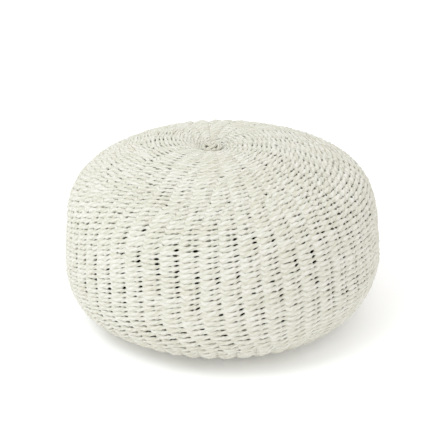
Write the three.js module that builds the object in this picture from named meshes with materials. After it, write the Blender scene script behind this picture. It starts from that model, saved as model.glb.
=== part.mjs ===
// Round floor pouf knitted in thick plastic cord: one filled body, drawn together at the top.
// The knitting runs in courses round the body, and in ribs that run from pole to pole.
// Every rib is about as wide as its neighbour, so fewer of them reach the two poles.
// Units are millimetres, +Z is up, and the part stands on the plane Z = 0 about the Z axis.
import * as THREE from "three";
import { mergeVertices } from "three/addons/utils/BufferGeometryUtils.js";

// Overall size
const DIAMETER = 500;
const HEIGHT = 285;
const REST_DIAMETER = 250;

// Half of the body's upright section, from the top pole to the edge of the resting face.
// radius is a share of the half diameter, height is a share of the height,
// and lean moves the middle of that level along X, in millimetres.
const SECTION = [
  { radius: 0.144, height: 0.989, lean: -15.5 },
  { radius: 0.256, height: 1.0, lean: -12.5 },
  { radius: 0.384, height: 0.989, lean: -9 },
  { radius: 0.508, height: 0.958, lean: -6 },
  { radius: 0.632, height: 0.916, lean: -3 },
  { radius: 0.764, height: 0.868, lean: -1 },
  { radius: 0.876, height: 0.804, lean: -1 },
  { radius: 0.948, height: 0.702, lean: -1 },
  { radius: 0.976, height: 0.582, lean: 0 },
  { radius: 0.99, height: 0.456, lean: 0 },
  { radius: 1.0, height: 0.34, lean: 0 },
  { radius: 0.984, height: 0.237, lean: -2 },
  { radius: 0.932, height: 0.142, lean: -4 },
  { radius: 0.836, height: 0.072, lean: -3 },
  { radius: 0.716, height: 0.03, lean: -1 },
  { radius: 0.6, height: 0.008, lean: 0 },
];
const SECTION_BANDS = 21;

// Hollow at the top pole, where the last loops are drawn together round the closing knot
const POLE_LEAN = -16.5;
const HOLLOW = [
  { radius: 13, height: 270 },
  { radius: 17, height: 275 },
  { radius: 25, height: 279.5 },
];

// Ribs: each sector holds one long rib, one middle rib and one short rib.
// A rib opens where the body is wide enough for it, within the given span of radius.
const SECTORS = 18;
const RIB_KINDS = [
  { opens: -60, full: -20 },
  { opens: 82, full: 150 },
  { opens: 136, full: 214 },
];
const OPENING_SCATTER = 12;
const FULL_CROWN_SHARE = 0.12;
const POINTS_PER_SECTOR = 12;
const RIB_SPREAD = 0.06;
const WIDEST_RIBS_AT = THREE.MathUtils.degToRad(-80);
const RIB_TURN = THREE.MathUtils.degToRad(3.5);

// Rib depth against radius, for the upper and the lower half
const RIB_DEPTH = {
  rim: 0.9,
  upper: { pole: 2.6, poleRadius: 40, rimRadius: 225 },
  lower: { fold: 3.0, edgeRadius: 128, foldRadius: 175, flatRadius: 205, rimRadius: 246 },
};
const RIB_FULLNESS = 0.75;
const RIB_MEAN = 0.6;

// Slow unevenness of the filled body
const LUMPS = [
  { waves: 2, depth: 1.2, phase: 0.6, drift: 1.3 },
  { waves: 4, depth: 0.8, phase: -1.1, drift: 2.1 },
];

// Closing knot: one length of the same cord, tied flat in the hollow
const CORD_DIAMETER = 5.4;
const KNOT_RADIUS = 6.4;
const KNOT_STEPS = 60;
const KNOT_SIDES = 8;
const CLEARANCE = 0.3;

const HALF = DIAMETER / 2;
const FULL_TURN = 2 * Math.PI;

const { lerp, clamp, smoothstep } = THREE.MathUtils;

// Azimuth of a place counted in sectors: the ribs are a little wider on one side than on the other.
function azimuthOf(sectorPlace) {
  const even = (sectorPlace / SECTORS) * FULL_TURN - RIB_TURN;
  return even + RIB_SPREAD * Math.sin(even - WIDEST_RIBS_AT);
}

// Share of its sector that each rib takes at a radius, the scatter being the sector's own.
function ribShares(sector, radius) {
  const widths = RIB_KINDS.map((kind, k) => {
    const shift = k === 0 ? 0 : OPENING_SCATTER * Math.sin(2.4 * sector + 1.7 * k);
    return smoothstep(radius, kind.opens + shift, kind.full + shift);
  });
  const sum = widths.reduce((total, width) => total + width, 0);
  return widths.map((width) => width / sum);
}

// Height of the rounded rib over its seams, from 0 at a seam to 1 at the crest.
function ribCrown(sectorPlace, radius) {
  const sector = Math.floor(sectorPlace + 1e-9);
  let place = Math.max(0, sectorPlace - sector);
  for (const share of ribShares(sector, radius)) {
    if (place < share) {
      const crown = Math.pow(Math.sin(Math.PI * (place / share)), RIB_FULLNESS);
      return crown * Math.min(1, share / FULL_CROWN_SHARE);
    }
    place -= share;
  }
  return 0;
}

function ribDepth(radius, isUpper) {
  const { rim, upper, lower } = RIB_DEPTH;
  if (isUpper) {
    const out = clamp((radius - upper.poleRadius) / (upper.rimRadius - upper.poleRadius), 0, 1);
    const inside = smoothstep(radius, HOLLOW[0].radius, upper.poleRadius);
    return lerp(upper.pole, rim, out) * inside;
  }
  const fold = lower.fold * smoothstep(radius, lower.edgeRadius, lower.foldRadius);
  return lerp(fold, rim, smoothstep(radius, lower.flatRadius, lower.rimRadius));
}

function lump(azimuth, level) {
  const swell = LUMPS.reduce(
    (sum, { waves, depth, phase, drift }) =>
      sum + depth * Math.sin(waves * azimuth + phase + drift * level),
    0,
  );
  return swell * smoothstep(level, 0, 0.25) * (1 - smoothstep(level, 0.8, 1));
}

// Levels of the body, from the hollow at the top to the edge of the resting face
function bodyLevels() {
  const curve = new THREE.CatmullRomCurve3(
    SECTION.map(
      ({ radius, height, lean }) => new THREE.Vector3(radius * HALF, lean, height * HEIGHT),
    ),
    false,
    "centripetal",
  );
  const levels = HOLLOW.map(({ radius, height }) => ({
    radius,
    height,
    lean: POLE_LEAN,
    out: 0.2,
    up: 1,
    level: 0,
  }));
  for (let i = 0; i <= SECTION_BANDS; i++) {
    const along = i / SECTION_BANDS;
    const point = curve.getPointAt(along);
    const tangent = curve.getTangentAt(along);
    const length = Math.hypot(tangent.x, tangent.z);
    levels.push({
      radius: point.x,
      height: point.z,
      lean: point.y,
      out: -tangent.z / length,
      up: tangent.x / length,
      level: along,
    });
  }
  levels.push({ radius: REST_DIAMETER / 2, height: 0, lean: 0, out: 0, up: 0, level: 1 });
  return levels;
}

function bodyGeometry() {
  const columns = SECTORS * POINTS_PER_SECTOR;
  const levels = bodyLevels();
  const positions = [];
  for (const { radius, height, lean, out, up, level } of levels) {
    for (let c = 0; c < columns; c++) {
      const sectorPlace = c / POINTS_PER_SECTOR;
      const azimuth = azimuthOf(sectorPlace);
      const crown = ribCrown(sectorPlace, radius) - RIB_MEAN;
      const raise = ribDepth(radius, up > 0) * crown + lump(azimuth, level);
      const reach = radius + out * raise;
      positions.push(
        lean + reach * Math.cos(azimuth),
        reach * Math.sin(azimuth),
        Math.max(0, height + up * raise),
      );
    }
  }
  const topCentre = positions.length / 3;
  positions.push(POLE_LEAN, 0, levels[0].height);
  positions.push(0, 0, 0);

  const faces = [];
  for (let i = 0; i < levels.length - 1; i++) {
    for (let c = 0; c < columns; c++) {
      const upper = i * columns + c;
      const upperNext = i * columns + ((c + 1) % columns);
      const lower = upper + columns;
      const lowerNext = upperNext + columns;
      faces.push(upper, lower, lowerNext);
      faces.push(upper, lowerNext, upperNext);
    }
  }
  const lastLevel = (levels.length - 1) * columns;
  for (let c = 0; c < columns; c++) {
    const next = (c + 1) % columns;
    faces.push(topCentre, c, next);
    faces.push(topCentre + 1, lastLevel + next, lastLevel + c);
  }

  const geometry = new THREE.BufferGeometry();
  geometry.setAttribute("position", new THREE.Float32BufferAttribute(positions, 3));
  geometry.setIndex(faces);
  geometry.computeVertexNormals();
  return geometry;
}

function knotGeometry() {
  const knot = new THREE.TorusKnotGeometry(
    KNOT_RADIUS,
    CORD_DIAMETER / 2,
    KNOT_STEPS,
    KNOT_SIDES,
    2,
    3,
  );
  knot.deleteAttribute("normal");
  knot.deleteAttribute("uv");
  const closed = mergeVertices(knot, 1e-3);
  closed.computeVertexNormals();
  closed.computeBoundingBox();
  return closed;
}

// Finishes
const cord = new THREE.MeshStandardMaterial({
  name: "cream plastic cord",
  color: 0xe9e6da,
  roughness: 0.5,
  metalness: 0,
});

const knittedBody = new THREE.Mesh(bodyGeometry(), cord);
knittedBody.name = "knitted_body";

const closingKnot = new THREE.Mesh(knotGeometry(), cord.clone());
closingKnot.name = "closing_knot";
closingKnot.position.set(
  POLE_LEAN,
  0,
  HOLLOW[0].height + CLEARANCE - closingKnot.geometry.boundingBox.min.z,
);

// The part's own axis runs through the middle of the body as it stands.
const middle = new THREE.Box3().setFromObject(knittedBody).getCenter(new THREE.Vector3());
const group = new THREE.Group();
group.add(knittedBody, closingKnot);
group.position.set(-middle.x, -middle.y, 0);

export default group;
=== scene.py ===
"""Round floor pouf, knitted in thick plastic cord over a dark inner bag.

Courses of stitches run round the body and ribs run from pole to pole. Every
stitch is the same short run of cord, bent onto the body by Geometry Nodes.
Lengths are metres, Z is up, and the front of the pouf looks along -Y.
"""

import math

import bpy
import numpy as np
from bpy.props import (
    FloatProperty,
    FloatVectorProperty,
    IntProperty,
    PointerProperty,
)
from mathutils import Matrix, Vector


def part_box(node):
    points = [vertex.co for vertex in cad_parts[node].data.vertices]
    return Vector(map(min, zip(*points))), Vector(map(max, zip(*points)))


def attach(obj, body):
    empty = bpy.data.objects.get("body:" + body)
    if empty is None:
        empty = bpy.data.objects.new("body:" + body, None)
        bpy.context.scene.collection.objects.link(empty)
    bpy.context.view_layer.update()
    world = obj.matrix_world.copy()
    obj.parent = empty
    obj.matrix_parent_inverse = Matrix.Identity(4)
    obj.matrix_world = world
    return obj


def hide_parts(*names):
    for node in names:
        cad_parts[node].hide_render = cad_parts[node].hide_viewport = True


bl_info = {
    "name": "Knitted pouf",
    "version": (1, 0, 0),
    "blender": (4, 5, 0),
    "location": "3D View > Sidebar > Pouf",
    "description": "Round floor pouf knitted in thick plastic cord",
    "category": "Object",
}

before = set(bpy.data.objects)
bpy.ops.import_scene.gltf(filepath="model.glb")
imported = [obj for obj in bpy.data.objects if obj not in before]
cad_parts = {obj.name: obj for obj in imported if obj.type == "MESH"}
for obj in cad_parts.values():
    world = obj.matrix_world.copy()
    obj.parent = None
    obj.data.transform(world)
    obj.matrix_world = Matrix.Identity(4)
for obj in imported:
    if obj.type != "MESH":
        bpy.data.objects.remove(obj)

MM = 0.001
FULL_TURN = 2 * math.pi

# Shape of the filled body: the knitting follows it

# Upright section as (radius, height, lean along X), down the outside from the rim
# of the hollow at the top to the middle of the resting face. HOLLOW and REST are in
# mm. In SECTION the radius is a share of HALF and the height a share of TALL.
HALF = 250.0
TALL = 285.0
POLE_LEAN = -16.5
HOLLOW = [(13.0, 270.0, POLE_LEAN), (17.0, 275.0, POLE_LEAN), (25.0, 279.5, POLE_LEAN)]
SECTION = [
    (0.144, 0.989, -15.5),
    (0.256, 1.000, -12.5),
    (0.384, 0.989, -9.0),
    (0.508, 0.958, -6.0),
    (0.632, 0.916, -3.0),
    (0.764, 0.868, -1.0),
    (0.876, 0.804, -1.0),
    (0.948, 0.702, -1.0),
    (0.976, 0.582, 0.0),
    (0.990, 0.456, 0.0),
    (1.000, 0.340, 0.0),
    (0.984, 0.237, -2.0),
    (0.932, 0.142, -4.0),
    (0.836, 0.072, -3.0),
    (0.716, 0.030, -1.0),
    (0.600, 0.008, 0.0),
]
REST = [(125.0, 0.0, 0.0), (60.0, 0.0, 0.0), (3.0, 0.0, 0.0)]
SECTION_STEPS = 1400
STEPS_BETWEEN_POINTS = 24
SLOPE_SMOOTHING = 9

# Lengths along the section, in mm, where the body's outside begins and ends
OUTSIDE = (30.0, 500.0)

# Ribs: each sector holds a long, a middle and a short one, which open and are
# full at these radii in mm. They are widest at the front.
SECTORS = 18
RIB_KINDS = [(-60.0, -20.0), (82.0, 150.0), (136.0, 214.0)]
OPENING_SCATTER = 12.0
SCATTER_BY_SECTOR = 2.4
SCATTER_BY_KIND = 1.7
RIB_SPREAD = 0.06
WIDEST_RIBS_AT = math.radians(-80.0)
RIB_TURN = math.radians(3.5)
FULL_CROWN_SHARE = 0.12
CROWN_FULLNESS = 0.75
CROWN_MEAN = 0.6

# Depth of the ribs in mm, and the radii over which it changes
RIM_DEPTH = 0.9
TOP_DEPTH = 2.6
TOP_RADII = (40.0, 225.0)
FOOT_DEPTH = 4.0
FOOT_DEEPENS = (128.0, 175.0)
FOOT_FLATTENS = (226.0, 249.0)

# The ribs lie flatter where the front of the top is drawn tight, and stand out
# behind. Lengths along the section are in mm, BEHIND is in the sine of the azimuth.
RELIEF = 1.25
LOST_WHERE_DRAWN = 0.95
DRAWN_ENDS = (60.0, 200.0)
GAINED_BEHIND = 2.2
BEHIND_SPANS = ((70.0, 125.0), (165.0, 220.0))
BEHIND = (0.0, 0.7)

# Slow unevenness: (waves round the body, depth in mm, phase, drift down the body)
LUMPS = [(2, 1.2, 0.6, 1.3), (4, 0.8, -1.1, 2.1)]
LUMP_SPANS = ((0, 0.25), (0.8, 1))


def smoothstep(x, low, high):
    t = np.clip((x - low) / (high - low), 0.0, 1.0)
    return t * t * (3.0 - 2.0 * t)


def between(x, rise, fall):
    """1 from the end of the first span to the start of the second, 0 outside both."""
    return smoothstep(x, *rise) * (1 - smoothstep(x, *fall))


def waves(table, place, s, shift=0.0):
    """Sum of sines: (height, rate with the place, rate with the length, phase)."""
    return sum(
        height * np.sin(round_ * place + down * s + phase + shift)
        for height, round_, down, phase in table
    )


def rounded_line(points, steps):
    """Centripetal curve through the points, sampled evenly by length."""
    pts = np.array(points, float)
    pts = np.vstack([2 * pts[0] - pts[1], pts, 2 * pts[-1] - pts[-2]])
    dense = []
    for i in range(1, len(pts) - 2):
        p0, p1, p2, p3 = pts[i - 1 : i + 3]
        d0 = np.sqrt(np.linalg.norm(p1 - p0))
        d1 = np.sqrt(np.linalg.norm(p2 - p1))
        d2 = np.sqrt(np.linalg.norm(p3 - p2))
        m1 = ((p1 - p0) / d0 - (p2 - p0) / (d0 + d1) + (p2 - p1) / d1) * d1
        m2 = ((p2 - p1) / d1 - (p3 - p1) / (d1 + d2) + (p3 - p2) / d2) * d1
        for u in np.linspace(0, 1, STEPS_BETWEEN_POINTS, endpoint=False):
            dense.append(
                (2 * u**3 - 3 * u**2 + 1) * p1
                + (u**3 - 2 * u**2 + u) * m1
                + (-2 * u**3 + 3 * u**2) * p2
                + (u**3 - u**2) * m2
            )
    dense.append(pts[-2])
    dense = np.array(dense)
    length = np.concatenate(
        [[0], np.cumsum(np.linalg.norm(np.diff(dense[:, :2], axis=0), axis=1))]
    )
    even = np.linspace(0, length[-1], steps)
    line = np.column_stack([np.interp(even, length, dense[:, k]) for k in range(3)])
    return even, line


class Section:
    """The body's upright section by length from the hollow's rim, in mm."""

    def __init__(self):
        body = [(r * HALF, h * TALL, lean) for r, h, lean in SECTION]
        self.at, line = rounded_line(HOLLOW + body + REST, SECTION_STEPS)
        self.radius, self.height, self.lean = line.T
        slope_r = np.gradient(self.radius, self.at)
        slope_h = np.gradient(self.height, self.at)
        size = np.hypot(slope_r, slope_h)
        self.out = self.smooth(-slope_h / size)
        self.up = self.smooth(slope_r / size)
        self.end = self.at[-1]

    def smooth(self, values):
        soft = np.ones(SLOPE_SMOOTHING) / SLOPE_SMOOTHING
        pad = (SLOPE_SMOOTHING - 1) // 2
        return np.convolve(np.pad(values, pad, mode="edge"), soft, "valid")

    def read(self, s):
        return [
            np.interp(s, self.at, values)
            for values in (self.radius, self.height, self.lean, self.out, self.up)
        ]


SECTION_LINE = Section()


def azimuth_of(place):
    """Azimuth of a place counted in sectors; ribs are wider at the front."""
    even = place / SECTORS * FULL_TURN - RIB_TURN
    return even + RIB_SPREAD * np.sin(even - WIDEST_RIBS_AT)


def level_of(s):
    """0 where the body's outside begins at the top, and 1 where it ends below."""
    top, foot = OUTSIDE
    return np.clip((s - top) / (foot - top), 0, 1)


def rib_shares(sector, radius):
    """Share of its sector that each of the three ribs takes at a radius."""
    widths = []
    for k, (opens, full) in enumerate(RIB_KINDS):
        turn = SCATTER_BY_SECTOR * sector + SCATTER_BY_KIND * k
        shift = 0.0 if k == 0 else OPENING_SCATTER * np.sin(turn)
        widths.append(smoothstep(radius, opens + shift, full + shift))
    total = sum(widths)
    return [w / total for w in widths]


def rib_crown(place, radius):
    """0 at a seam between ribs and 1 on the crest."""
    sector = np.floor(place + 1e-9)
    left = np.clip(place - sector, 0, 1)
    crown = np.zeros_like(left)
    start = np.zeros_like(left)
    for share in rib_shares(sector, radius):
        inside = (left >= start) & (left < start + share) & (share > 1e-6)
        along = np.where(inside, (left - start) / np.maximum(share, 1e-6), 0)
        hump = np.power(np.clip(np.sin(np.pi * along), 0, 1), CROWN_FULLNESS)
        crown = np.where(inside, hump * np.minimum(1, share / FULL_CROWN_SHARE), crown)
        start = start + share
    return crown


def rib_depth(radius, up):
    """Height of a rib's crest over its seams, in mm."""
    pole, rim = TOP_RADII
    upper = TOP_DEPTH + (RIM_DEPTH - TOP_DEPTH) * np.clip((radius - pole) / (rim - pole), 0, 1)
    upper = upper * smoothstep(radius, HOLLOW[0][0], pole)
    fold = FOOT_DEPTH * smoothstep(radius, *FOOT_DEEPENS)
    lower = fold + (RIM_DEPTH - fold) * smoothstep(radius, *FOOT_FLATTENS)
    return np.where(up > 0, upper, lower)


def lump(azimuth, level):
    swell = sum(
        depth * np.sin(count * azimuth + phase + drift * level)
        for count, depth, phase, drift in LUMPS
    )
    return swell * between(level, *LUMP_SPANS)


def on_body(place, s, sink):
    """Point of the body at a place in sectors, a length s and a depth, in mm."""
    radius, height, lean, out, up = SECTION_LINE.read(s)
    azimuth = azimuth_of(place)
    drawn = (1 - smoothstep(s, *DRAWN_ENDS)) * (0.5 - 0.5 * np.sin(azimuth))
    behind = between(s, *BEHIND_SPANS) * smoothstep(np.sin(azimuth), *BEHIND)
    # Behind, the crests are narrower too.
    crown = rib_crown(place, radius) ** (1 + behind)
    relief = rib_depth(radius, up) * (crown - CROWN_MEAN)
    relief = relief * (RELIEF - LOST_WHERE_DRAWN * drawn + GAINED_BEHIND * behind)
    rise = relief + lump(azimuth, level_of(s)) - sink
    reach = radius + out * rise
    return np.stack(
        [
            lean + reach * np.cos(azimuth),
            reach * np.sin(azimuth),
            height + up * rise,
        ],
        axis=-1,
    )


# One stitch of the knitting

# A stitch from one seam to the next, which the cord crosses by turning down behind
# its neighbours: (along the course, towards the pole, outwards, cord radius), in mm.
STITCH_WIDTH = 29.0
STITCH_PITCH = 7.7
TIGHT_STITCH = [
    (0.0, -0.6, 1.4, 4.2),
    (1.8, -3.0, 1.4, 4.4),
    (4.2, -3.6, 1.5, 4.8),
    (7.5, -2.8, 1.8, 4.7),
    (10.5, -1.9, 2.0, 4.1),
    (13.8, -1.3, 2.0, 3.9),
    (16.8, -0.7, 1.9, 5.0),
    (19.5, 0.0, 2.0, 3.8),
    (22.5, 0.9, 2.0, 3.7),
    (25.0, 1.9, 1.7, 4.3),
    (27.0, 2.5, 1.4, 4.3),
]
OPEN_STITCH = [
    (0.0, -0.6, 1.4, 4.2),
    (1.8, -3.1, 1.3, 4.3),
    (4.2, -3.8, 1.3, 4.8),
    (7.5, -2.9, 1.6, 4.5),
    (10.5, -1.8, 1.9, 3.1),
    (13.8, -1.1, 1.9, 2.3),
    (16.8, -0.6, 1.9, 4.8),
    (19.5, 0.1, 1.8, 2.5),
    (22.5, 1.1, 1.8, 1.9),
    (25.0, 2.3, 1.6, 3.3),
    (27.0, 2.6, 1.4, 4.1),
]
# The leg of the loop: it runs back behind the gap and turns up across it
LEG = [
    (6.5, -6.9, -1.6, 2.5),
    (11.5, -5.7, -1.8, 2.4),
    (15.4, -4.9, -1.0, 2.1),
    (16.9, -3.4, -0.8, 2.1),
    (17.4, -1.0, -2.2, 1.8),
]


# Sizes and colours that a user may change


def length_property(name, description, default, low=0.0):
    return FloatProperty(
        name=name, description=description, default=default, min=low, unit="LENGTH"
    )


def share_property(name, description, default, low=0.0, high=1.0):
    return FloatProperty(
        name=name, description=description, default=default, min=low, max=high, subtype="FACTOR"
    )


def colour_property(name, description, default):
    return FloatVectorProperty(
        name=name, description=description, default=default, min=0, max=1, subtype="COLOR"
    )


class PoufKnitting(bpy.types.PropertyGroup):
    seed: IntProperty(name="Seed", description="Which uneven knitting is made", default=7, min=0)
    sides: IntProperty(
        name="Cord sides", description="Faces round the cord", default=8, min=3, max=16
    )
    fullness: share_property(
        "Cord fullness", "Thickness of the cord against its drawn size", 1.0, 0.5, 1.5
    )
    flatness: share_property(
        "Cord height", "Height of the pressed cord against its width", 0.62, 0.2
    )
    unevenness: length_property(
        "Unevenness", "How far a stitch strays from its neighbours", 0.0005
    )
    colour: colour_property("Cord colour", "Colour of the plastic cord", (0.707, 0.689, 0.631))
    roughness: share_property("Roughness", "Roughness of the cord's surface", 0.5)


class PoufInside(bpy.types.PropertyGroup):
    depth: length_property(
        "Depth", "How far the inner bag lies under the outside of the knitting", 0.0145
    )
    colour: colour_property("Bag colour", "Colour of the inner bag", (0.018, 0.016, 0.012))


class PoufKnot(bpy.types.PropertyGroup):
    cord: length_property("Cord diameter", "Diameter of the cord in the knot", 0.0054, 0.001)
    spread: length_property("Spread", "Radius of the knot's middle line", 0.0064, 0.001)


class PoufStage(bpy.types.PropertyGroup):
    floor: colour_property("Floor colour", "Colour of the plain floor", (0.97, 0.97, 0.97))
    daylight: FloatProperty(
        name="Daylight", description="Strength of the even light", default=1.03, min=0.0
    )
    window: FloatProperty(
        name="Window light",
        description="Strength of the large soft lamp",
        default=29.0,
        min=0.0,
        unit="POWER",
    )


# Small helpers


def add_object(name, mesh, material=None):
    obj = bpy.data.objects.new(name, mesh)
    bpy.context.scene.collection.objects.link(obj)
    if material:
        obj.data.materials.clear()
        obj.data.materials.append(material)
    return obj


def node(tree, kind, **settings):
    made = tree.nodes.new(kind)
    for key, value in settings.items():
        setattr(made, key, value)
    return made


def fill(made, **values):
    """Sets a node's unlinked inputs by name, spaces written as underscores."""
    for key, value in values.items():
        made.inputs[key.replace("_", " ")].default_value = value
    return made


def link(tree, source, target):
    tree.links.new(source, target)


def feed(tree, target, value):
    """Links another node's output to an input, or sets a plain value there."""
    if isinstance(value, bpy.types.NodeSocket):
        link(tree, value, target)
    else:
        target.default_value = value


def math_node(tree, operation, *values):
    made = node(tree, "ShaderNodeMath", operation=operation)
    for target, value in zip(made.inputs, values):
        feed(tree, target, value)
    return made.outputs[0]


def vector_node(tree, operation, a, b=None):
    made = node(tree, "ShaderNodeVectorMath", operation=operation)
    feed(tree, made.inputs[0], a)
    if b is not None:
        feed(tree, made.inputs["Scale" if operation == "SCALE" else 1], b)
    return made.outputs["Value" if operation == "DOT_PRODUCT" else "Vector"]


def set_modifier_inputs(modifier, **values):
    """Sets a Geometry Nodes modifier's inputs by their sockets' identifiers."""
    identifiers = {
        item.name: item.identifier
        for item in modifier.node_group.interface.items_tree
        if item.item_type == "SOCKET" and item.in_out == "INPUT"
    }
    for key, value in values.items():
        modifier[identifiers[key.replace("_", " ")]] = value


def plain_mesh(obj, name):
    """A new object with the evaluated mesh of obj, which is deleted."""
    depsgraph = bpy.context.evaluated_depsgraph_get()
    depsgraph.update()
    mesh = bpy.data.meshes.new_from_object(
        obj.evaluated_get(depsgraph), preserve_all_data_layers=True, depsgraph=depsgraph
    )
    mesh.name = name
    obj.modifiers.clear()
    old = obj.data
    bpy.data.objects.remove(obj)
    bpy.data.meshes.remove(old)
    made = bpy.data.objects.new(name, mesh)
    bpy.context.scene.collection.objects.link(made)
    return made


# Materials

# Three plies wind round the cord, each of three strands.
PLIES = 3.0
STRANDS = 3.0

# The cord's darkest and lightest colour as shares of the one that is set, and how
# far each pattern shifts the colour from the first towards the second
DARKEST = (0.86, 0.86, 0.76)
LIGHTEST = 1.05
MEAN_TONE = 0.25
DRIFT_TONE = 0.5
STITCH_TONE = 0.45
# Painted shade: the colour darkens in the narrow grooves between the plies
GROOVE_PAINTED_SHADE = -0.7
# Painted light and shade: the colour rises and falls across the fine strands
STRAND_PAINTED_SHADING = 0.12

# Height of each pattern in the bump
GROOVE_RISE = -2.0
STRAND_RISE = 0.3
GRAIN_RISE = 0.8
CORD_BUMP = {"Strength": 0.7, "Distance": 0.0005}

# The higher this is, the narrower is the groove between two plies, both its painted shade and its
# dent in the bump.
GROOVE_SHARPNESS = 4.0
CORD_SHINE = 0.35
COLOUR_DRIFT = {"Scale": 9.0, "Detail": 2.0}
GRAIN = {"Scale": 420.0, "Detail": 3.0}

# Cloth of the bag: its roughness and shine, and its darkest and lightest tone
CLOTH_FINISH = (0.9, 0.1)
CLOTH_TONES = (0.6, 1.5)
WEAVE = {"Scale": 600.0, "Detail": 2.0}
WEAVE_BUMP = {"Strength": 0.3, "Distance": 0.0005}

# Floor: its roughness and shine, and the light it gives off
FLOOR_FINISH = (0.8, 0.1)
FLOOR_GLOW = 0.12


def wound_angle(tree, name):
    """Angle round or along the cord, out of its cosine and sine."""
    read = node(tree, "ShaderNodeAttribute", attribute_name=name)
    split = node(tree, "ShaderNodeSeparateXYZ")
    link(tree, read.outputs["Vector"], split.inputs[0])
    return math_node(tree, "ARCTAN2", split.outputs["Y"], split.outputs["X"])


def noise(tree, **values):
    """Noise on Object coordinates."""
    place = node(tree, "ShaderNodeTexCoord")
    made = fill(node(tree, "ShaderNodeTexNoise"), **values)
    link(tree, place.outputs["Object"], made.inputs["Vector"])
    return made.outputs[0]


def colour_between(tree, shader, factor, low, high):
    """Base colour that goes from low to high with the factor."""
    made = node(tree, "ShaderNodeMix", data_type="RGBA")
    made.inputs["A"].default_value = (*low, 1)
    made.inputs["B"].default_value = (*high, 1)
    link(tree, factor, made.inputs["Factor"])
    link(tree, made.outputs["Result"], shader.inputs["Base Color"])


def bump_from(tree, shader, height, **values):
    bump = fill(node(tree, "ShaderNodeBump"), **values)
    link(tree, height, bump.inputs["Height"])
    link(tree, bump.outputs[0], shader.inputs["Normal"])


def new_material(name, roughness, specular):
    material = bpy.data.materials.new(name)
    material.use_nodes = True
    tree = material.node_tree
    shader = tree.nodes["Principled BSDF"]
    shader.inputs["Roughness"].default_value = roughness
    shader.inputs["Specular IOR Level"].default_value = specular
    return material, tree, shader


def cord_material(name, colour, roughness):
    """Twisted plastic cord: three plies, fine strands, and colour that drifts, with painted shade in
    the grooves between the plies and painted light and shade across the strands.
    """
    material, tree, shader = new_material(name, roughness, CORD_SHINE)
    around = wound_angle(tree, "round")
    along = wound_angle(tree, "wound")
    ply = math_node(tree, "MULTIPLY_ADD", around, PLIES, along)
    hollow = math_node(tree, "MULTIPLY_ADD", math_node(tree, "SINE", ply), -0.5, 0.5)
    groove = math_node(tree, "POWER", hollow, GROOVE_SHARPNESS)
    strands = math_node(tree, "SINE", math_node(tree, "MULTIPLY", ply, STRANDS))
    drift = noise(tree, **COLOUR_DRIFT)
    grain = noise(tree, **GRAIN)
    stitch = node(tree, "ShaderNodeAttribute", attribute_name="tone").outputs["Fac"]

    tone = math_node(tree, "MULTIPLY_ADD", drift, DRIFT_TONE, MEAN_TONE)
    tone = math_node(tree, "MULTIPLY_ADD", stitch, STITCH_TONE, tone)
    # Painted shade in the grooves between the plies
    tone = math_node(tree, "MULTIPLY_ADD", groove, GROOVE_PAINTED_SHADE, tone)
    # Painted light and shade across the fine strands
    tone = math_node(tree, "MULTIPLY_ADD", strands, STRAND_PAINTED_SHADING, tone)
    darkest = [c * share for c, share in zip(colour, DARKEST)]
    lightest = [min(1, c * LIGHTEST) for c in colour]
    colour_between(tree, shader, tone, darkest, lightest)

    height = math_node(tree, "MULTIPLY", strands, STRAND_RISE)
    height = math_node(tree, "MULTIPLY_ADD", groove, GROOVE_RISE, height)
    height = math_node(tree, "MULTIPLY_ADD", grain, GRAIN_RISE, height)
    bump_from(tree, shader, height, **CORD_BUMP)
    return material


def bag_material(colour):
    """Near-black cloth with a fine weave for the inner bag; it gives the dark seen in the gaps
    between the stitches.
    """
    material, tree, shader = new_material("dark inner bag", *CLOTH_FINISH)
    weave = noise(tree, **WEAVE)
    darkest, lightest = ([c * tone for c in colour] for tone in CLOTH_TONES)
    colour_between(tree, shader, weave, darkest, lightest)
    bump_from(tree, shader, weave, **WEAVE_BUMP)
    return material


def floor_material(colour):
    """Plain white floor, with a little light of its own to stay white in shade."""
    material, _, shader = new_material("plain floor", *FLOOR_FINISH)
    shader.inputs["Base Color"].default_value = (*colour, 1)
    shader.inputs["Emission Color"].default_value = (*colour, 1)
    shader.inputs["Emission Strength"].default_value = FLOOR_GLOW
    return material


# Geometry Nodes

# The plies wind round the cord once in about this length.
PLY_LENGTH = 0.018


def new_tree(name, sockets):
    """A Geometry Nodes tree with the named inputs and one geometry output."""
    tree = bpy.data.node_groups.new(name, "GeometryNodeTree")
    tree.interface.new_socket("Geometry", in_out="INPUT", socket_type="NodeSocketGeometry")
    for label, kind, default in sockets:
        made = tree.interface.new_socket(label, in_out="INPUT", socket_type=kind)
        if default is not None:
            made.default_value = default
    tree.interface.new_socket("Geometry", in_out="OUTPUT", socket_type="NodeSocketGeometry")
    return tree, node(tree, "NodeGroupInput"), node(tree, "NodeGroupOutput")


def named(tree, name, kind):
    made = node(tree, "GeometryNodeInputNamedAttribute", data_type=kind)
    made.inputs["Name"].default_value = name
    return made.outputs["Attribute"]


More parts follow.
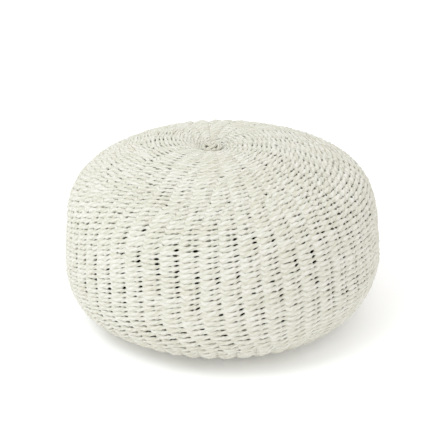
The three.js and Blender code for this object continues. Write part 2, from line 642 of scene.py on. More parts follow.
def cord_round(tree, curve, group_in, radius):
    """Sweeps a round cord along the curve and stores how its plies are wound."""
    ring = node(tree, "GeometryNodeCurvePrimitiveCircle", mode="RADIUS")
    link(tree, group_in.outputs["Cord Sides"], ring.inputs["Resolution"])
    ring.inputs["Radius"].default_value = 1.0

    # Whole winds on every cord, so that the plies meet where a course closes
    way = node(tree, "GeometryNodeCaptureAttribute", domain="POINT")
    way.capture_items.new("FLOAT", "Wound")
    link(tree, curve, way.inputs[0])
    spline = node(tree, "GeometryNodeSplineParameter")
    length = node(tree, "GeometryNodeSplineLength")
    winds = math_node(tree, "DIVIDE", length.outputs["Length"], PLY_LENGTH)
    wound = math_node(tree, "MULTIPLY", math_node(tree, "ROUND", winds), FULL_TURN)
    wound = math_node(tree, "MULTIPLY", spline.outputs["Factor"], wound)
    link(tree, wound, way.inputs["Wound"])

    turn = node(tree, "GeometryNodeCaptureAttribute", domain="POINT")
    turn.capture_items.new("VECTOR", "Round")
    link(tree, ring.outputs[0], turn.inputs[0])
    link(tree, node(tree, "GeometryNodeInputPosition").outputs[0], turn.inputs["Round"])

    sweep = node(tree, "GeometryNodeCurveToMesh")
    link(tree, way.outputs[0], sweep.inputs["Curve"])
    link(tree, turn.outputs[0], sweep.inputs["Profile Curve"])
    link(tree, radius, sweep.inputs["Scale"])
    sweep.inputs["Fill Caps"].default_value = True

    join = node(tree, "ShaderNodeCombineXYZ")
    link(tree, math_node(tree, "COSINE", way.outputs["Wound"]), join.inputs["X"])
    link(tree, math_node(tree, "SINE", way.outputs["Wound"]), join.inputs["Y"])
    cords = sweep.outputs[0]
    for name, value in (("round", turn.outputs["Round"]), ("wound", join.outputs[0])):
        store = node(
            tree, "GeometryNodeStoreNamedAttribute", data_type="FLOAT_VECTOR", domain="POINT"
        )
        store.inputs["Name"].default_value = name
        link(tree, cords, store.inputs["Geometry"])
        link(tree, value, store.inputs["Value"])
        cords = store.outputs[0]
    return cords


def finish_tree(tree, geometry, group_in, group_out):
    """Smooth shading, real geometry and the material end every tree."""
    smooth = node(tree, "GeometryNodeSetShadeSmooth")
    link(tree, geometry, smooth.inputs[0])
    real = node(tree, "GeometryNodeRealizeInstances")
    link(tree, smooth.outputs[0], real.inputs[0])
    finish = node(tree, "GeometryNodeSetMaterial")
    link(tree, real.outputs[0], finish.inputs["Geometry"])
    link(tree, group_in.outputs["Finish"], finish.inputs["Material"])
    link(tree, finish.outputs[0], group_out.inputs[0])
    return tree


def knitting_tree():
    """Bends every step of every stitch out of the plain courses."""
    tree, group_in, group_out = new_tree(
        "knitting",
        [
            ("Tight Stitch", "NodeSocketObject", None),
            ("Open Stitch", "NodeSocketObject", None),
            ("Cord Fullness", "NodeSocketFloat", 1.0),
            ("Cord Height", "NodeSocketFloat", 0.62),
            ("Cord Sides", "NodeSocketInt", 8),
            ("Unevenness", "NodeSocketFloat", 0.0005),
            ("Seed", "NodeSocketInt", 0),
            ("Finish", "NodeSocketMaterial", None),
        ],
    )
    step = named(tree, "step", "INT")
    openness = named(tree, "openness", "FLOAT")

    def read(label, data_type, value):
        info = node(tree, "GeometryNodeObjectInfo", transform_space="ORIGINAL")
        link(tree, group_in.outputs[label], info.inputs["Object"])
        pick = node(tree, "GeometryNodeSampleIndex", data_type=data_type, domain="POINT")
        link(tree, info.outputs["Geometry"], pick.inputs["Geometry"])
        link(tree, value, pick.inputs["Value"])
        link(tree, step, pick.inputs["Index"])
        return pick.outputs[0]

    def blend(a, b):
        made = node(tree, "ShaderNodeMix", data_type="VECTOR")
        link(tree, openness, made.inputs["Factor"])
        link(tree, a, made.inputs[4])
        link(tree, b, made.inputs[5])
        return made.outputs[1]

    where = node(tree, "GeometryNodeInputPosition").outputs[0]
    place = blend(
        read("Tight Stitch", "FLOAT_VECTOR", where),
        read("Open Stitch", "FLOAT_VECTOR", where),
    )
    cord = named(tree, "cord", "FLOAT")
    tight_cord = read("Tight Stitch", "FLOAT", cord)
    open_cord = read("Open Stitch", "FLOAT", cord)
    mixed = node(tree, "ShaderNodeMix", data_type="FLOAT")
    link(tree, openness, mixed.inputs["Factor"])
    link(tree, tight_cord, mixed.inputs[2])
    link(tree, open_cord, mixed.inputs[3])

    split = node(tree, "ShaderNodeSeparateXYZ")
    link(tree, place, split.inputs[0])
    rising = vector_node(tree, "SCALE", named(tree, "rising", "FLOAT_VECTOR"), split.outputs["Y"])
    outward = vector_node(tree, "SCALE", named(tree, "outward", "FLOAT_VECTOR"), split.outputs["Z"])
    offset = vector_node(tree, "ADD", rising, outward)

    stray = node(tree, "FunctionNodeRandomValue", data_type="FLOAT_VECTOR")
    stray.inputs[0].default_value = (-1, -1, -1)
    stray.inputs[1].default_value = (1, 1, 1)
    link(tree, named(tree, "stitch", "INT"), stray.inputs["ID"])
    link(tree, group_in.outputs["Seed"], stray.inputs["Seed"])
    give = math_node(tree, "MULTIPLY", named(tree, "give", "FLOAT"), group_in.outputs["Unevenness"])
    offset = vector_node(tree, "ADD", offset, vector_node(tree, "SCALE", stray.outputs[0], give))

    moved = node(tree, "GeometryNodeSetPosition")
    link(tree, group_in.outputs["Geometry"], moved.inputs["Geometry"])
    link(tree, offset, moved.inputs["Offset"])
    thread = node(tree, "GeometryNodeMeshToCurve")
    link(tree, moved.outputs[0], thread.inputs[0])

    thickness = math_node(tree, "MULTIPLY", mixed.outputs[0], named(tree, "girth", "FLOAT"))
    thickness = math_node(tree, "MULTIPLY", thickness, group_in.outputs["Cord Fullness"])
    keep = node(tree, "GeometryNodeCaptureAttribute", domain="POINT")
    keep.capture_items.new("FLOAT", "Thickness")
    keep.capture_items.new("VECTOR", "Middle")
    link(tree, thread.outputs[0], keep.inputs[0])
    link(tree, thickness, keep.inputs["Thickness"])
    link(tree, where, keep.inputs["Middle"])
    cords = cord_round(tree, keep.outputs[0], group_in, keep.outputs["Thickness"])

    # The filling presses the cords flat against each other.
    facing = vector_node(tree, "NORMALIZE", named(tree, "outward", "FLOAT_VECTOR"))
    away = vector_node(tree, "SUBTRACT", where, keep.outputs["Middle"])
    height = vector_node(tree, "DOT_PRODUCT", away, facing)
    lost = math_node(tree, "SUBTRACT", group_in.outputs["Cord Height"], 1.0)
    press = math_node(tree, "MULTIPLY", height, lost)
    flat = node(tree, "GeometryNodeSetPosition")
    link(tree, cords, flat.inputs["Geometry"])
    link(tree, vector_node(tree, "SCALE", facing, press), flat.inputs["Offset"])
    return finish_tree(tree, flat.outputs[0], group_in, group_out)


# Courses

# Pitch of the courses against length along the section, both in mm
COURSE_PITCH = [
    (0, 5.6), (20, 6.4), (40, 7.2), (90, 7.3), (125, 7.6), (160, 8.0), (195, 8.4), (230, 8.2),
    (265, 7.9), (300, 8.1), (370, 8.2), (420, 8.5), (470, 8.5), (540, 8.2), (600, 7.6), (650, 6.6),
]
END_MARGIN = 3.0
BANDS = 7

# How deep in mm the middle of the knitting lies under the outside, less at the foot
KNIT_SINK = 4.9
EXTRA_SINK = 0.4
FOOT_RISES = (480.0, 540.0)

# Narrowest rib in mm that gets stitches of its own. Where a whole sector is
# narrower than the second row says, two or three sectors share one stitch.
NARROWEST_RIB = 9.0
SHARED_BELOW = (6.5, 3.5)

# The seams lean to the right on their way down, most at the front of the foot.
# Spans of length along the section here and below are in mm.
LEAN = math.radians(3.5)
LEANS = (200.0, 480.0)
SWEEP = math.radians(9.5)
SWEEPS = (358.0, 432.0)
SWEPT_AT = math.radians(-112.0)
SWEEP_SHARPNESS = 8

# The seams sway from side to side, and the courses wander up and down, in mm.
SWAY = [(0.8, 2.3, 0.055, 0.0), (0.6, 5.1, 0.11, 1.0), (0.3, 9.1, 0.37, 0.0)]
FULL_SWAY_RADIUS = 120
WANDER = [(0.9, 3, 0.013, 0.4), (0.7, 5, -0.017, 2.1), (0.5, 9, 0.031, 1.2)]
WANDER_SPANS = ((20.0, 120.0), (560.0, 660.0))

# The courses lie further apart on the left of the top, hang at both sides of the
# wall, and droop between the seams at the foot, in mm.
SHIFT = 7.0
SHIFT_SPANS = ((10.0, 150.0), (250.0, 420.0))
HANG = 18.0
HANG_SPANS = ((110.0, 280.0), (310.0, 480.0))
DROOP = 3.0
DROOP_SPANS = ((350.0, 410.0), (500.0, 560.0))

# Chance along a course: how far it strays in mm, and how much its girth varies
RAGGED = 0.4
UNEVEN_GIRTH = 0.07

# The cord is thicker where the courses lie further apart. How far the body spreads
# them is measured NEIGHBOUR mm up and down, and their slump SLACK_NEIGHBOUR mm.
SPREAD_LIMITS = (0.7, 1.3)
NEIGHBOUR = 1.5
TAKEN_UP = 0.9
SLACK_NEIGHBOUR = 4.0

# More than the stitches of any course, so that each stitch has its own number
MOST_STITCHES = 100

# Gaps on the right and on the left of a stitch's leg: (phase, share, more of it
# high on the wall). The leg stands at LEG_AT of the stitch.
GAPS = [(0.0, 0.15, -0.25), (2.6, -0.05, 0.3)]
LEG_AT = 0.56
SLOW_GAPS = [(0.35, 2, 0.02, 0.7), (0.3, 7, -0.045, 1.9)]
RUNS_OF_GAPS = [(0.5, 40.0, 0.11, 0.0)]
SLOW_SHARE = 0.3
RUN_SHARE = 0.35
CHANCE_SHARE = 0.8
CLOSED_SHARE = 0.36
WIDEST_GAP = 1.15
HIGH_WALL = ((110.0, 160.0), (215.0, 270.0))

# Gaps on the top: drawn tight in front, looser to the sides
TOP_ENDS = (70.0, 190.0)
TOP_TIGHT = 0.85
TOP_SHARE = 0.2
TOP_LOOSE = 1.7

# More gaps on the right and low at both sides of the wall, fewer on the far left
# and at the foot. Sides are spans of the cosine of the azimuth, positive to the right.
RIGHT_SIDE = (0.3, 0.9)
MORE_RIGHT = 0.27
LOW_WALL = (290.0, 350.0)
BOTH_SIDES = (0.1, 0.5)
MORE_LOW = 0.11
FAR_LEFT = (0.8, 1.0)
FEWER_LEFT = 0.25
FOOT_CLOSES = (325.0, 382.0)
FOOT_CLOSED = 0.9

# How steeply the stitches climb: they lie level on the right of the wall, and
# about half as steep as elsewhere on the right of the top.
SLOPE = 0.85
SLOPE_WAVES = [(0.2, 2, 0.0, 1.9), (0.12, 5, 0.03, 0.0)]
SLOPE_CHANCE = 0.1
LEVEL_SIDE = (0.25, 0.9)
LEVEL_TOP = 0.55
LEVEL_WALL = 0.6
LEVEL_GROWS = (130.0, 230.0)


def pitch_at(s):
    return float(np.interp(s, *zip(*COURSE_PITCH)))


def course_lengths():
    """Where each course lies along the section, in mm."""
    at = [END_MARGIN]
    while at[-1] < SECTION_LINE.end - END_MARGIN:
        at.append(at[-1] + pitch_at(at[-1]))
    return at[:-1]


def drift(place, s):
    """How far the seams lean to the right on their way down, in sectors."""
    facing = (0.5 + 0.5 * np.cos(azimuth_of(place) - SWEPT_AT)) ** SWEEP_SHARPNESS
    lean = LEAN * smoothstep(s, *LEANS) + SWEEP * facing * smoothstep(s, *SWEEPS)
    return lean / (FULL_TURN / SECTORS)


def slump(place, s):
    """How far the courses lie below their even place, in mm."""
    across = np.cos(azimuth_of(place))
    shift = SHIFT * between(s, *SHIFT_SPANS)
    hang = HANG * between(s, *HANG_SPANS)
    return hang * across**2 - shift * across


def rib_seams(radius):
    """Places in sectors where the ribs meet at a radius, in order."""
    seams = []
    width = FULL_TURN * radius / SECTORS
    shared = 1 + sum(width <= limit for limit in SHARED_BELOW)
    for sector in range(0, SECTORS, shared):
        shares = rib_shares(sector, radius)
        kept = [float(share) for share in shares if share * width > NARROWEST_RIB]
        if not kept:
            kept = [1.0]
        total = sum(kept)
        start = 0.0
        for share in kept:
            seams.append(sector + start / total)
            start += share
    return seams


class Courses:
    """Plain courses as lines of vertices, with what bends them to stitches."""

    def __init__(self, row_steps, rng):
        self.row_steps = row_steps
        self.rng = rng
        self.points = []
        self.edges = []
        self.facts = {
            key: []
            for key in (
                "step", "stitch", "rising", "outward",
                "girth", "openness", "give", "tone",
            )
        }
        self.count = 0

    def stray(self, count):
        """Noise along a course, smooth from one point to the next."""
        loose = self.rng.standard_normal(count)
        return 0.5 * loose + 0.33 * (np.roll(loose, 1) + np.roll(loose, -1))

    def add(self, number, s, stitch):
        """Adds a course whose stitches have their points where the drawn one has."""
        radius = float(np.interp(s, SECTION_LINE.at, SECTION_LINE.radius))
        seams = np.array(rib_seams(radius))
        sway = waves(SWAY, seams, s) / (FULL_TURN * radius / SECTORS)
        starts = seams + drift(seams, s) + sway * min(1, radius / FULL_SWAY_RADIUS)
        widths = np.diff(np.append(starts, starts[0] + SECTORS))
        size = pitch_at(s) / STITCH_PITCH
        count = len(starts)
        steps = len(stitch)
        total = steps * count

        share = np.tile(stitch[:, 0] / STITCH_WIDTH, count)
        right, left = self.openness(starts, s)
        mixed = np.where(share > LEG_AT, np.repeat(right, steps), np.repeat(left, steps))
        place = np.repeat(starts, steps) + np.repeat(widths, steps) * share
        turn = place / SECTORS * FULL_TURN
        centre = s + waves(WANDER, turn, s) * between(s, *WANDER_SPANS) + slump(place, s)
        centre = centre + RAGGED * self.stray(total)
        centre = centre + DROOP * between(s, *DROOP_SPANS) * np.sin(np.pi * share)

        sink = KNIT_SINK * size + EXTRA_SINK - smoothstep(s, *FOOT_RISES)
        here = on_body(place % SECTORS, centre, sink)
        up = on_body(place % SECTORS, centre - NEIGHBOUR, sink)
        down = on_body(place % SECTORS, centre + NEIGHBOUR, sink)
        # The courses lie closer where the body leans towards them.
        spread = np.linalg.norm(up - down, axis=1) / (2 * NEIGHBOUR)
        slack = slump(place, s + SLACK_NEIGHBOUR) - slump(place, s - SLACK_NEIGHBOUR)
        slack = slack / (2 * SLACK_NEIGHBOUR)
        girth = size * np.clip(spread, *SPREAD_LIMITS) * (1 + TAKEN_UP * slack)
        girth = girth * (1 + UNEVEN_GIRTH * self.stray(total))
        azimuth = azimuth_of(place)
        side = np.stack([-np.sin(azimuth), np.cos(azimuth), np.zeros_like(azimuth)], axis=-1)
        pole = up - down
        pole /= np.maximum(np.linalg.norm(pole, axis=1, keepdims=True), 1e-9)
        outward = np.cross(side, pole)
        outward /= np.linalg.norm(outward, axis=1, keepdims=True)

        self.points.append(here)
        steep = np.repeat(self.steepness(starts, s), steps)
        give = np.sin(np.pi * stitch[:, 0] / STITCH_WIDTH) ** 2
        facts = {
            "step": np.tile(np.arange(steps), count),
            "stitch": np.repeat(np.arange(count), steps) + number * MOST_STITCHES,
            "rising": pole * (girth * steep)[:, None],
            "outward": outward * girth[:, None],
            "girth": girth,
            "openness": mixed,
            "give": np.tile(give, count),
            "tone": np.repeat(self.rng.random(count), steps),
        }
        for key, values in facts.items():
            self.facts[key].append(values)

        index = np.arange(total).reshape(count, steps) + self.count
        row = index[:, : self.row_steps].ravel()
        legs = index[:, self.row_steps :]
        self.edges.append(np.column_stack([row, np.roll(row, -1)]))
        self.edges.append(np.column_stack([legs[:, :-1].ravel(), legs[:, 1:].ravel()]))
        self.count += total

    def openness(self, place, s):
        """How far each stitch gapes on either side of its leg, strongly in few, in runs."""
        turn = place / SECTORS * FULL_TURN
        across = np.cos(azimuth_of(place))
        top = 1 - smoothstep(s, *TOP_ENDS)
        low = smoothstep(s, *LOW_WALL) * smoothstep(np.abs(across), *BOTH_SIDES)
        foot = smoothstep(s, *FOOT_CLOSES)
        both = []
        for phase, share, higher in GAPS:
            slow = 0.5 + waves(SLOW_GAPS, turn, s, phase)
            run = 0.5 + waves(RUNS_OF_GAPS, place, s, phase)
            each = self.rng.random(len(place)) ** 2
            share = share + higher * between(s, *HIGH_WALL)
            wide = SLOW_SHARE * slow + RUN_SHARE * run + CHANCE_SHARE * each
            wide = wide + share - CLOSED_SHARE
            wide = wide * (1 - TOP_TIGHT * top)
            wide = wide + top * (TOP_SHARE + share) * TOP_LOOSE * across**2
            wide = wide + MORE_RIGHT * smoothstep(across, *RIGHT_SIDE) + MORE_LOW * low
            wide = wide - FEWER_LEFT * smoothstep(-across, *FAR_LEFT)
            both.append(np.clip(wide * (1 - FOOT_CLOSED * foot), 0, WIDEST_GAP))
        return both

    def steepness(self, place, s):
        """How steeply each stitch climbs from its left seam to its right one."""
        turn = place / SECTORS * FULL_TURN
        level = LEVEL_TOP + LEVEL_WALL * smoothstep(s, *LEVEL_GROWS)
        slope = SLOPE + waves(SLOPE_WAVES, turn, s)
        slope = slope * (1 - level * smoothstep(np.cos(azimuth_of(place)), *LEVEL_SIDE))
        return slope + SLOPE_CHANCE * self.rng.standard_normal(len(place))

    def object(self, name):
        mesh = bpy.data.meshes.new(name)
        points = np.concatenate(self.points) * MM
        edges = np.concatenate(self.edges)
        mesh.vertices.add(len(points))
        mesh.vertices.foreach_set("co", points.ravel())
        mesh.edges.add(len(edges))
        mesh.edges.foreach_set("vertices", edges.ravel().astype(np.int32))
        for key, parts in self.facts.items():
            values = np.concatenate(parts)
            if values.ndim == 2:
                kind, field = "FLOAT_VECTOR", "vector"
            elif values.dtype.kind == "i":
                kind, field = "INT", "value"
            else:
                kind, field = "FLOAT", "value"
            layer = mesh.attributes.new(key, kind, "POINT")
            layer.data.foreach_set(field, values.ravel())
        mesh.update()
        return add_object(name, mesh)


def stitch_object(name, points):
    """The stitch as loose vertices that the knitting tree reads."""
    mesh = bpy.data.meshes.new(name)
    mesh.from_pydata([tuple(p[:3] * MM) for p in points], [], [])
    layer = mesh.attributes.new("cord", "FLOAT", "POINT")
    layer.data.foreach_set("value", (points[:, 3] * MM).astype(np.float32))
    return add_object(name, mesh)


def keep_attributes(mesh, names):
    """Removes the attributes that no material reads."""
    for name in [a.name for a in mesh.attributes]:
        layer = mesh.attributes[name]
        if name in names or layer.is_required or layer.is_internal:
            continue
        if name in ("material_index", "sharp_face", "sharp_edge"):
            continue
        mesh.attributes.remove(layer)


# The lowest part of a cord, in metres, and the height below which it is pressed
LOWEST = 0.0003
PRESSED_BELOW = 0.004


def lift_to_floor(mesh):
    """Presses whatever lies near or under the floor up above it."""
    room = PRESSED_BELOW - LOWEST
    co = np.empty(len(mesh.vertices) * 3, np.float32)
    mesh.vertices.foreach_get("co", co)
    co = co.reshape(-1, 3)
    z = co[:, 2]
    pressed = LOWEST + room * np.exp(np.minimum(z - PRESSED_BELOW, 0) / room)
    co[:, 2] = np.where(z < PRESSED_BELOW, pressed, z)
    mesh.vertices.foreach_set("co", co.ravel())
    mesh.update()


# Operators: one for each group of pieces, and one for the stage


class POUF_OT_knitting(bpy.types.Operator):
    """Knit the cover: courses of stitches from the hollow at the top to the middle underneath"""

    bl_idname = "pouf.knitting"
    bl_label = "Knitted cover"

    def execute(self, context):
        sizes = context.scene.pouf_knitting
        tight = np.array(TIGHT_STITCH + LEG)
        tight_object = stitch_object("tight_stitch", tight)
        open_object = stitch_object("open_stitch", np.array(OPEN_STITCH + LEG))
        finish = cord_material("cream plastic cord", sizes.colour, sizes.roughness)
        tree = knitting_tree()
        rng = np.random.default_rng(sizes.seed)
        lengths = course_lengths()
        groups = np.array_split(np.arange(len(lengths)), BANDS)
        for band, group in enumerate(groups, 1):
            courses = Courses(len(TIGHT_STITCH), rng)
            for number in group:
                courses.add(int(number), float(lengths[number]), tight)
            plain = courses.object(f"courses_{band}")
            modifier = plain.modifiers.new("knitting", "NODES")
            modifier.node_group = tree
            set_modifier_inputs(
                modifier,
                Tight_Stitch=tight_object,
                Open_Stitch=open_object,
                Cord_Fullness=sizes.fullness,
                Cord_Height=sizes.flatness,
                Cord_Sides=sizes.sides,
                Unevenness=sizes.unevenness,
                Seed=sizes.seed,
                Finish=finish,
            )
            piece = plain_mesh(plain, f"knitting_{band}")
            keep_attributes(piece.data, ("position", "round", "wound", "tone"))
            lift_to_floor(piece.data)
            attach(piece, "root")
            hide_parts("knitted_body")
        for used in (tight_object, open_object):
            mesh = used.data
            bpy.data.objects.remove(used)
            bpy.data.meshes.remove(mesh)
        return {"FINISHED"}


# Inner bag: rings and points in each, how far its poles stay from the section's
# ends, and its smallest radius and lowest height, in mm
BAG_RINGS = 70
BAG_COLUMNS = 144
BAG_ENDS = (10.0, 20.0)
BAG_LEAST_RADIUS = 6.0
BAG_LOWEST = 11.0


def closed_skin(rings, columns):
    """Faces of a stack of rings, closed by a point at the top and one below."""
    faces = []
    for i in range(rings - 1):
        upper = i * columns
        lower = upper + columns
        for c in range(columns):
            after = (c + 1) % columns
            faces.append((upper + c, lower + c, lower + after, upper + after))
    top = rings * columns
    for c in range(columns):
        after = (c + 1) % columns
        faces.append((top, c, after))
        faces.append((top + 1, top - columns + after, top - columns + c))
    return faces


class POUF_OT_inner_bag(bpy.types.Operator):
    """Make the dark filled bag that shows between the stitches"""

    bl_idname = "pouf.inner_bag"
    bl_label = "Inner bag"

    def execute(self, context):
        sizes = context.scene.pouf_inside
        first, last = BAG_ENDS
        azimuth = azimuth_of(np.arange(BAG_COLUMNS) / BAG_COLUMNS * SECTORS)
        rings = []
        for s in np.linspace(first, SECTION_LINE.end - last, BAG_RINGS):
            radius, height, lean, out, up = SECTION_LINE.read(s)
            rise = lump(azimuth, level_of(s)) - sizes.depth / MM
            reach = np.maximum(radius + out * rise, BAG_LEAST_RADIUS)
            level = np.full(BAG_COLUMNS, max(height + up * np.mean(rise), BAG_LOWEST))
            rings.append(
                np.stack([lean + reach * np.cos(azimuth), reach * np.sin(azimuth), level], axis=-1)
            )
        points = np.vstack([*rings, rings[0].mean(axis=0), rings[-1].mean(axis=0)]) * MM
        mesh = bpy.data.meshes.new("inner_bag")
        mesh.from_pydata([tuple(p) for p in points], [], closed_skin(BAG_RINGS, BAG_COLUMNS))
        mesh.polygons.foreach_set("use_smooth", [True] * len(mesh.polygons))
        mesh.update()
        bag = add_object("inner_bag", mesh, bag_material(sizes.colour))
        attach(bag, "root")
        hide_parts("knitted_body")
        return {"FINISHED"}


def sweep_cord(name, points, radius, sides, finish, cyclic=True):
    """One round cord along the points, by its own small tree."""
    tree, group_in, group_out = new_tree(
        name,
        [
            ("Cord Radius", "NodeSocketFloat", radius),
            ("Cord Sides", "NodeSocketInt", sides),
            ("Finish", "NodeSocketMaterial", None),
        ],
    )
    thread = node(tree, "GeometryNodeMeshToCurve")
    link(tree, group_in.outputs["Geometry"], thread.inputs[0])
    cords = cord_round(tree, thread.outputs[0], group_in, group_in.outputs["Cord Radius"])
    finish_tree(tree, cords, group_in, group_out)
    mesh = bpy.data.meshes.new(name)
    count = len(points)
    edges = [(i, i + 1) for i in range(count - 1)]
    if cyclic:
        edges.append((count - 1, 0))
    mesh.from_pydata([tuple(p) for p in points], edges, [])
    line = add_object(f"{name}_line", mesh)
    modifier = line.modifiers.new("cord", "NODES")
    modifier.node_group = tree
    set_modifier_inputs(modifier, Cord_Radius=radius, Cord_Sides=sides, Finish=finish)
    piece = plain_mesh(line, name)
    keep_attributes(piece.data, ("position", "round", "wound"))
    return piece


# Closing knot: winds and lobes, with the steps along it and the faces round it
KNOT_WINDS = 2
KNOT_LOBES = 3
KNOT_STEPS = 120
KNOT_SIDES = 10

# Drawing cord: a ring, a little oval, in low waves through the last loops, in metres
DRAWN_RADIUS = 0.0133
DRAWN_HEIGHT = 0.2744
DRAWN_OVAL = 0.05
DRAWN_WAVES = 9
DRAWN_WAVE_OUT = 0.0009
DRAWN_WAVE_UP = 0.0014
DRAWN_WAVE_PHASE = 0.6
DRAWN_STEPS = 160

# Wound end: a flat spiral from the outside in, that rises a little, in metres
WOUND_RADIUS = 0.0029
WOUND_INNER = 0.0004
WOUND_WIDTH = 0.0082
WOUND_CURL = 0.8
WOUND_TURNS = 1.9
WOUND_HEIGHT = 0.004
WOUND_RISE = 0.0012
WOUND_STEPS = 90

# Faces round the drawing cord and the wound end
PLAIN_SIDES = 8


def knot_line(centre, spread):
    """A closed knot that lies flat round its centre."""
    points = []
    for i in range(KNOT_STEPS):
        t = FULL_TURN * i / KNOT_STEPS
        reach = spread * (2 + math.cos(KNOT_LOBES * t)) * 0.5
        x = centre.x + reach * math.cos(KNOT_WINDS * t)
        y = centre.y + reach * math.sin(KNOT_WINDS * t)
        z = centre.z + spread * math.sin(KNOT_LOBES * t) * 0.5
        points.append((x, y, z))
    return points


def drawn_line():
    """The ring of the drawing cord, round the hollow's own middle."""
    points = []
    for i in range(DRAWN_STEPS):
        t = FULL_TURN * i / DRAWN_STEPS
        reach = DRAWN_RADIUS + DRAWN_WAVE_OUT * math.cos(DRAWN_WAVES * t)
        reach = reach * (1 + DRAWN_OVAL * math.sin(2 * t))
        x = POLE_LEAN * MM + reach * math.cos(t)
        y = reach * math.sin(t)
        z = DRAWN_HEIGHT + DRAWN_WAVE_UP * math.sin(DRAWN_WAVES * t + DRAWN_WAVE_PHASE)
        points.append((x, y, z))
    return points


def wound_line():
    """The spiral of the cord's end, round the middle of the resting face."""
    points = []
    for i in range(WOUND_STEPS):
        t = i / (WOUND_STEPS - 1)
        reach = WOUND_INNER + WOUND_WIDTH * (1 - t) ** WOUND_CURL
        turn = FULL_TURN * WOUND_TURNS * t
        points.append((reach * math.cos(turn), reach * math.sin(turn), WOUND_HEIGHT + WOUND_RISE * t))
    return points


class POUF_OT_closing_knot(bpy.types.Operator):
    """Tie the knot in the hollow, draw the last loops round it, wind up the end underneath"""

    bl_idname = "pouf.closing_knot"
    bl_label = "Closing knot"

    def execute(self, context):
        sizes = context.scene.pouf_knot
        look = context.scene.pouf_knitting
        low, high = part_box("closing_knot")
        centre = (Vector(low) + Vector(high)) / 2
        finish = cord_material("closing cord", look.colour, look.roughness)
        line = knot_line(centre, sizes.spread)
        knot = sweep_cord("closing_cord", line, sizes.cord / 2, KNOT_SIDES, finish)
        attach(knot, "root")
        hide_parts("closing_knot")

        drawn = sweep_cord("drawing_cord", drawn_line(), sizes.cord / 2, PLAIN_SIDES, finish)
        wound = sweep_cord(
            "wound_end", wound_line(), WOUND_RADIUS, PLAIN_SIDES, finish, cyclic=False
        )
        for piece in (drawn, wound):
            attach(piece, "root")
            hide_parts("knitted_body")
        return {"FINISHED"}


# Stage, in metres: half the floor's width, and the large lamp high on the left
FLOOR_HALF = 8.0
LAMP_WIDTH = 1.6
LAMP_AT = (-1.35, -0.95, 2.6)
LAMP_AIMS_AT = (0, 0, 0.12)
LAMP_COLOUR = (0.87, 0.95, 1.0)

# Camera: it looks down at a point over the middle of the floor. The lens is in mm,
# and the picture is shifted by pixels of the photograph's width.
CAMERA_TILT = math.radians(25.0)
CAMERA_REACH = 2.038
CAMERA_AIMS_AT = 0.143
LENS = 106.1
SENSOR = 36.0
PHOTO_WIDTH = 435.0
PHOTO_SHIFT = (-5.0, 6.9)
FARTHEST = 50.0


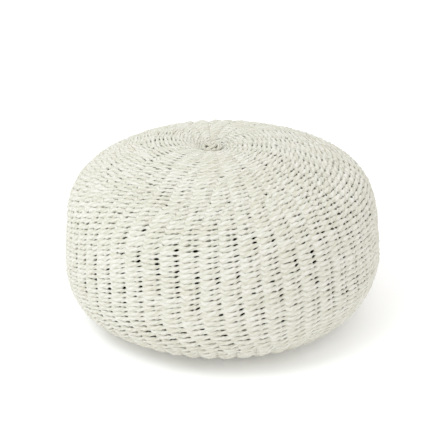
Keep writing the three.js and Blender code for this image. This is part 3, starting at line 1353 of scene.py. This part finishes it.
class POUF_OT_stage(bpy.types.Operator):
    """Set the plain floor, the soft lights and the camera"""

    bl_idname = "pouf.stage"
    bl_label = "Stage"

    def execute(self, context):
        sizes = context.scene.pouf_stage
        scene = context.scene
        mesh = bpy.data.meshes.new("floor")
        half = FLOOR_HALF
        mesh.from_pydata(
            [(-half, -half, 0), (half, -half, 0), (half, half, 0), (-half, half, 0)],
            [],
            [(0, 1, 2, 3)],
        )
        floor = add_object("floor", mesh, floor_material(sizes.floor))

        world = bpy.data.worlds.new("soft daylight")
        world.use_nodes = True
        sky = world.node_tree.nodes["Background"]
        sky.inputs["Color"].default_value = (1, 1, 1, 1)
        sky.inputs["Strength"].default_value = sizes.daylight
        scene.world = world

        lamp = bpy.data.lights.new("window", "AREA")
        lamp.shape = "DISK"
        lamp.size = LAMP_WIDTH
        lamp.energy = sizes.window
        lamp.color = LAMP_COLOUR
        window = bpy.data.objects.new("window", lamp)
        window.location = LAMP_AT
        aim = Vector(LAMP_AIMS_AT) - window.location
        window.rotation_euler = aim.to_track_quat("-Z", "Y").to_euler()
        scene.collection.objects.link(window)

        lens = bpy.data.cameras.new("camera")
        lens.sensor_width = SENSOR
        lens.lens = LENS
        lens.shift_x = PHOTO_SHIFT[0] / PHOTO_WIDTH
        lens.shift_y = PHOTO_SHIFT[1] / PHOTO_WIDTH
        lens.clip_end = FARTHEST
        camera = bpy.data.objects.new("camera", lens)
        back = CAMERA_REACH * math.cos(CAMERA_TILT)
        above = CAMERA_REACH * math.sin(CAMERA_TILT)
        camera.location = (0, -back, CAMERA_AIMS_AT + above)
        camera.rotation_euler = (math.pi / 2 - CAMERA_TILT, 0, 0)
        scene.collection.objects.link(camera)
        scene.camera = camera
        scene.view_settings.view_transform = "Standard"
        return {"FINISHED"}


class POUF_PT_panel(bpy.types.Panel):
    """Sizes, colours and steps of the pouf"""

    bl_idname = "POUF_PT_panel"
    bl_label = "Knitted pouf"
    bl_space_type = "VIEW_3D"
    bl_region_type = "UI"
    bl_category = "Pouf"

    def draw(self, context):
        layout = self.layout
        for group, operator, fields in PANEL_ROWS:
            box = layout.box()
            for field in fields:
                box.prop(getattr(context.scene, group), field)
            box.operator(operator)


PANEL_ROWS = [
    (
        "pouf_knitting",
        "pouf.knitting",
        ("seed", "sides", "fullness", "flatness", "unevenness", "colour", "roughness"),
    ),
    ("pouf_inside", "pouf.inner_bag", ("depth", "colour")),
    ("pouf_knot", "pouf.closing_knot", ("cord", "spread")),
    ("pouf_stage", "pouf.stage", ("floor", "daylight", "window")),
]

GROUPS = {
    "pouf_knitting": PoufKnitting,
    "pouf_inside": PoufInside,
    "pouf_knot": PoufKnot,
    "pouf_stage": PoufStage,
}

CLASSES = [
    *GROUPS.values(),
    POUF_OT_knitting,
    POUF_OT_inner_bag,
    POUF_OT_closing_knot,
    POUF_OT_stage,
    POUF_PT_panel,
]


def register():
    for made in CLASSES:
        bpy.utils.register_class(made)
    for name, group in GROUPS.items():
        setattr(bpy.types.Scene, name, PointerProperty(type=group))


def unregister():
    for name in GROUPS:
        delattr(bpy.types.Scene, name)
    for made in reversed(CLASSES):
        bpy.utils.unregister_class(made)


def main():
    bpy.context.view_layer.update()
    register()
    bpy.ops.pouf.knitting()
    bpy.ops.pouf.inner_bag()
    bpy.ops.pouf.closing_knot()
    bpy.ops.pouf.stage()


if __name__ == "__main__":
    main()
